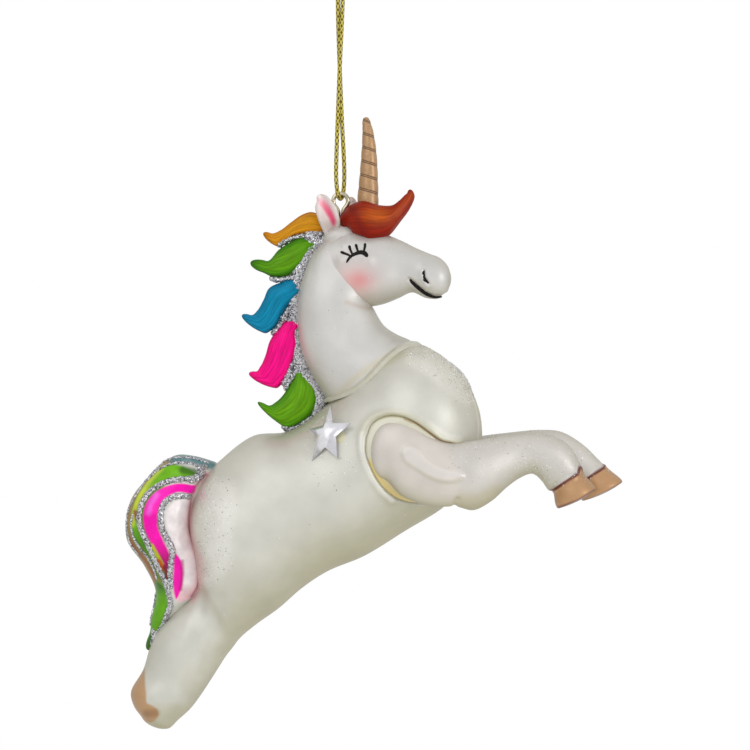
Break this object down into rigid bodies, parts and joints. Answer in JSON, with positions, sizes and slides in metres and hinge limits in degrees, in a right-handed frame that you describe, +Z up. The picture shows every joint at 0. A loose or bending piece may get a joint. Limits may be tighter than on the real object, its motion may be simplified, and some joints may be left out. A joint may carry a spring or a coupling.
{
  "type": "unicorn ornament",
  "caption": "Blown glass unicorn in a leaping pose, with cast resin head, mane and forelegs glued in and a faceted star, hung by a wire eye from a cord loop.",
  "frame": {"origin": "the point of the cord loop that rests on a hook", "axes": "+Z up, +X the way the unicorn leaps, +Y towards its far side"},
  "size_m": [0.114, 0.0384, 0.1907],
  "materials": {
    "pearl_glass": "pearl lacquer",
    "pearl_resin": "pearl lacquer",
    "clear_glue": "glossy",
    "bronze_resin": "satin metallic paint",
    "orange_resin": "satin paint",
    "silver_glitter": "glitter",
    "yellow_resin": "satin paint",
    "green_resin": "satin paint",
    "blue_resin": "satin paint",
    "pink_resin": "satin paint",
    "faceted_gem": "mirror-backed facets",
    "brass_wire": "polished",
    "gold_cord": "metallic braid"
  },
  "bodies": {
    "cord": {"hanging_cord": "gold_cord", "cord_knot": "gold_cord"},
    "figure": {"glass_body": "pearl_glass", "head_and_neck": "pearl_resin", "neck_glue": "clear_glue", "horn": "bronze_resin", "forelock": "orange_resin", "mane_glitter_band": "silver_glitter", "top_mane_lock": "yellow_resin", "upper_mane_lock": "green_resin", "middle_mane_lock": "blue_resin", "lower_mane_lock": "pink_resin", "last_mane_lock": "green_resin", "near_foreleg": "pearl_resin", "far_foreleg": "pearl_resin", "near_shoulder_glue": "clear_glue", "far_shoulder_glue": "clear_glue", "star_gem": "faceted_gem", "star_glue": "clear_glue", "hanging_eye": "brass_wire"}
  },
  "joints": [
    {"name": "figure_swing", "type": "hinge", "parent": "cord", "child": "figure", "pos_m": [0, 0, -0.055], "axis": [1, 0, 0], "range_deg": [-60, 60]}
  ]
}
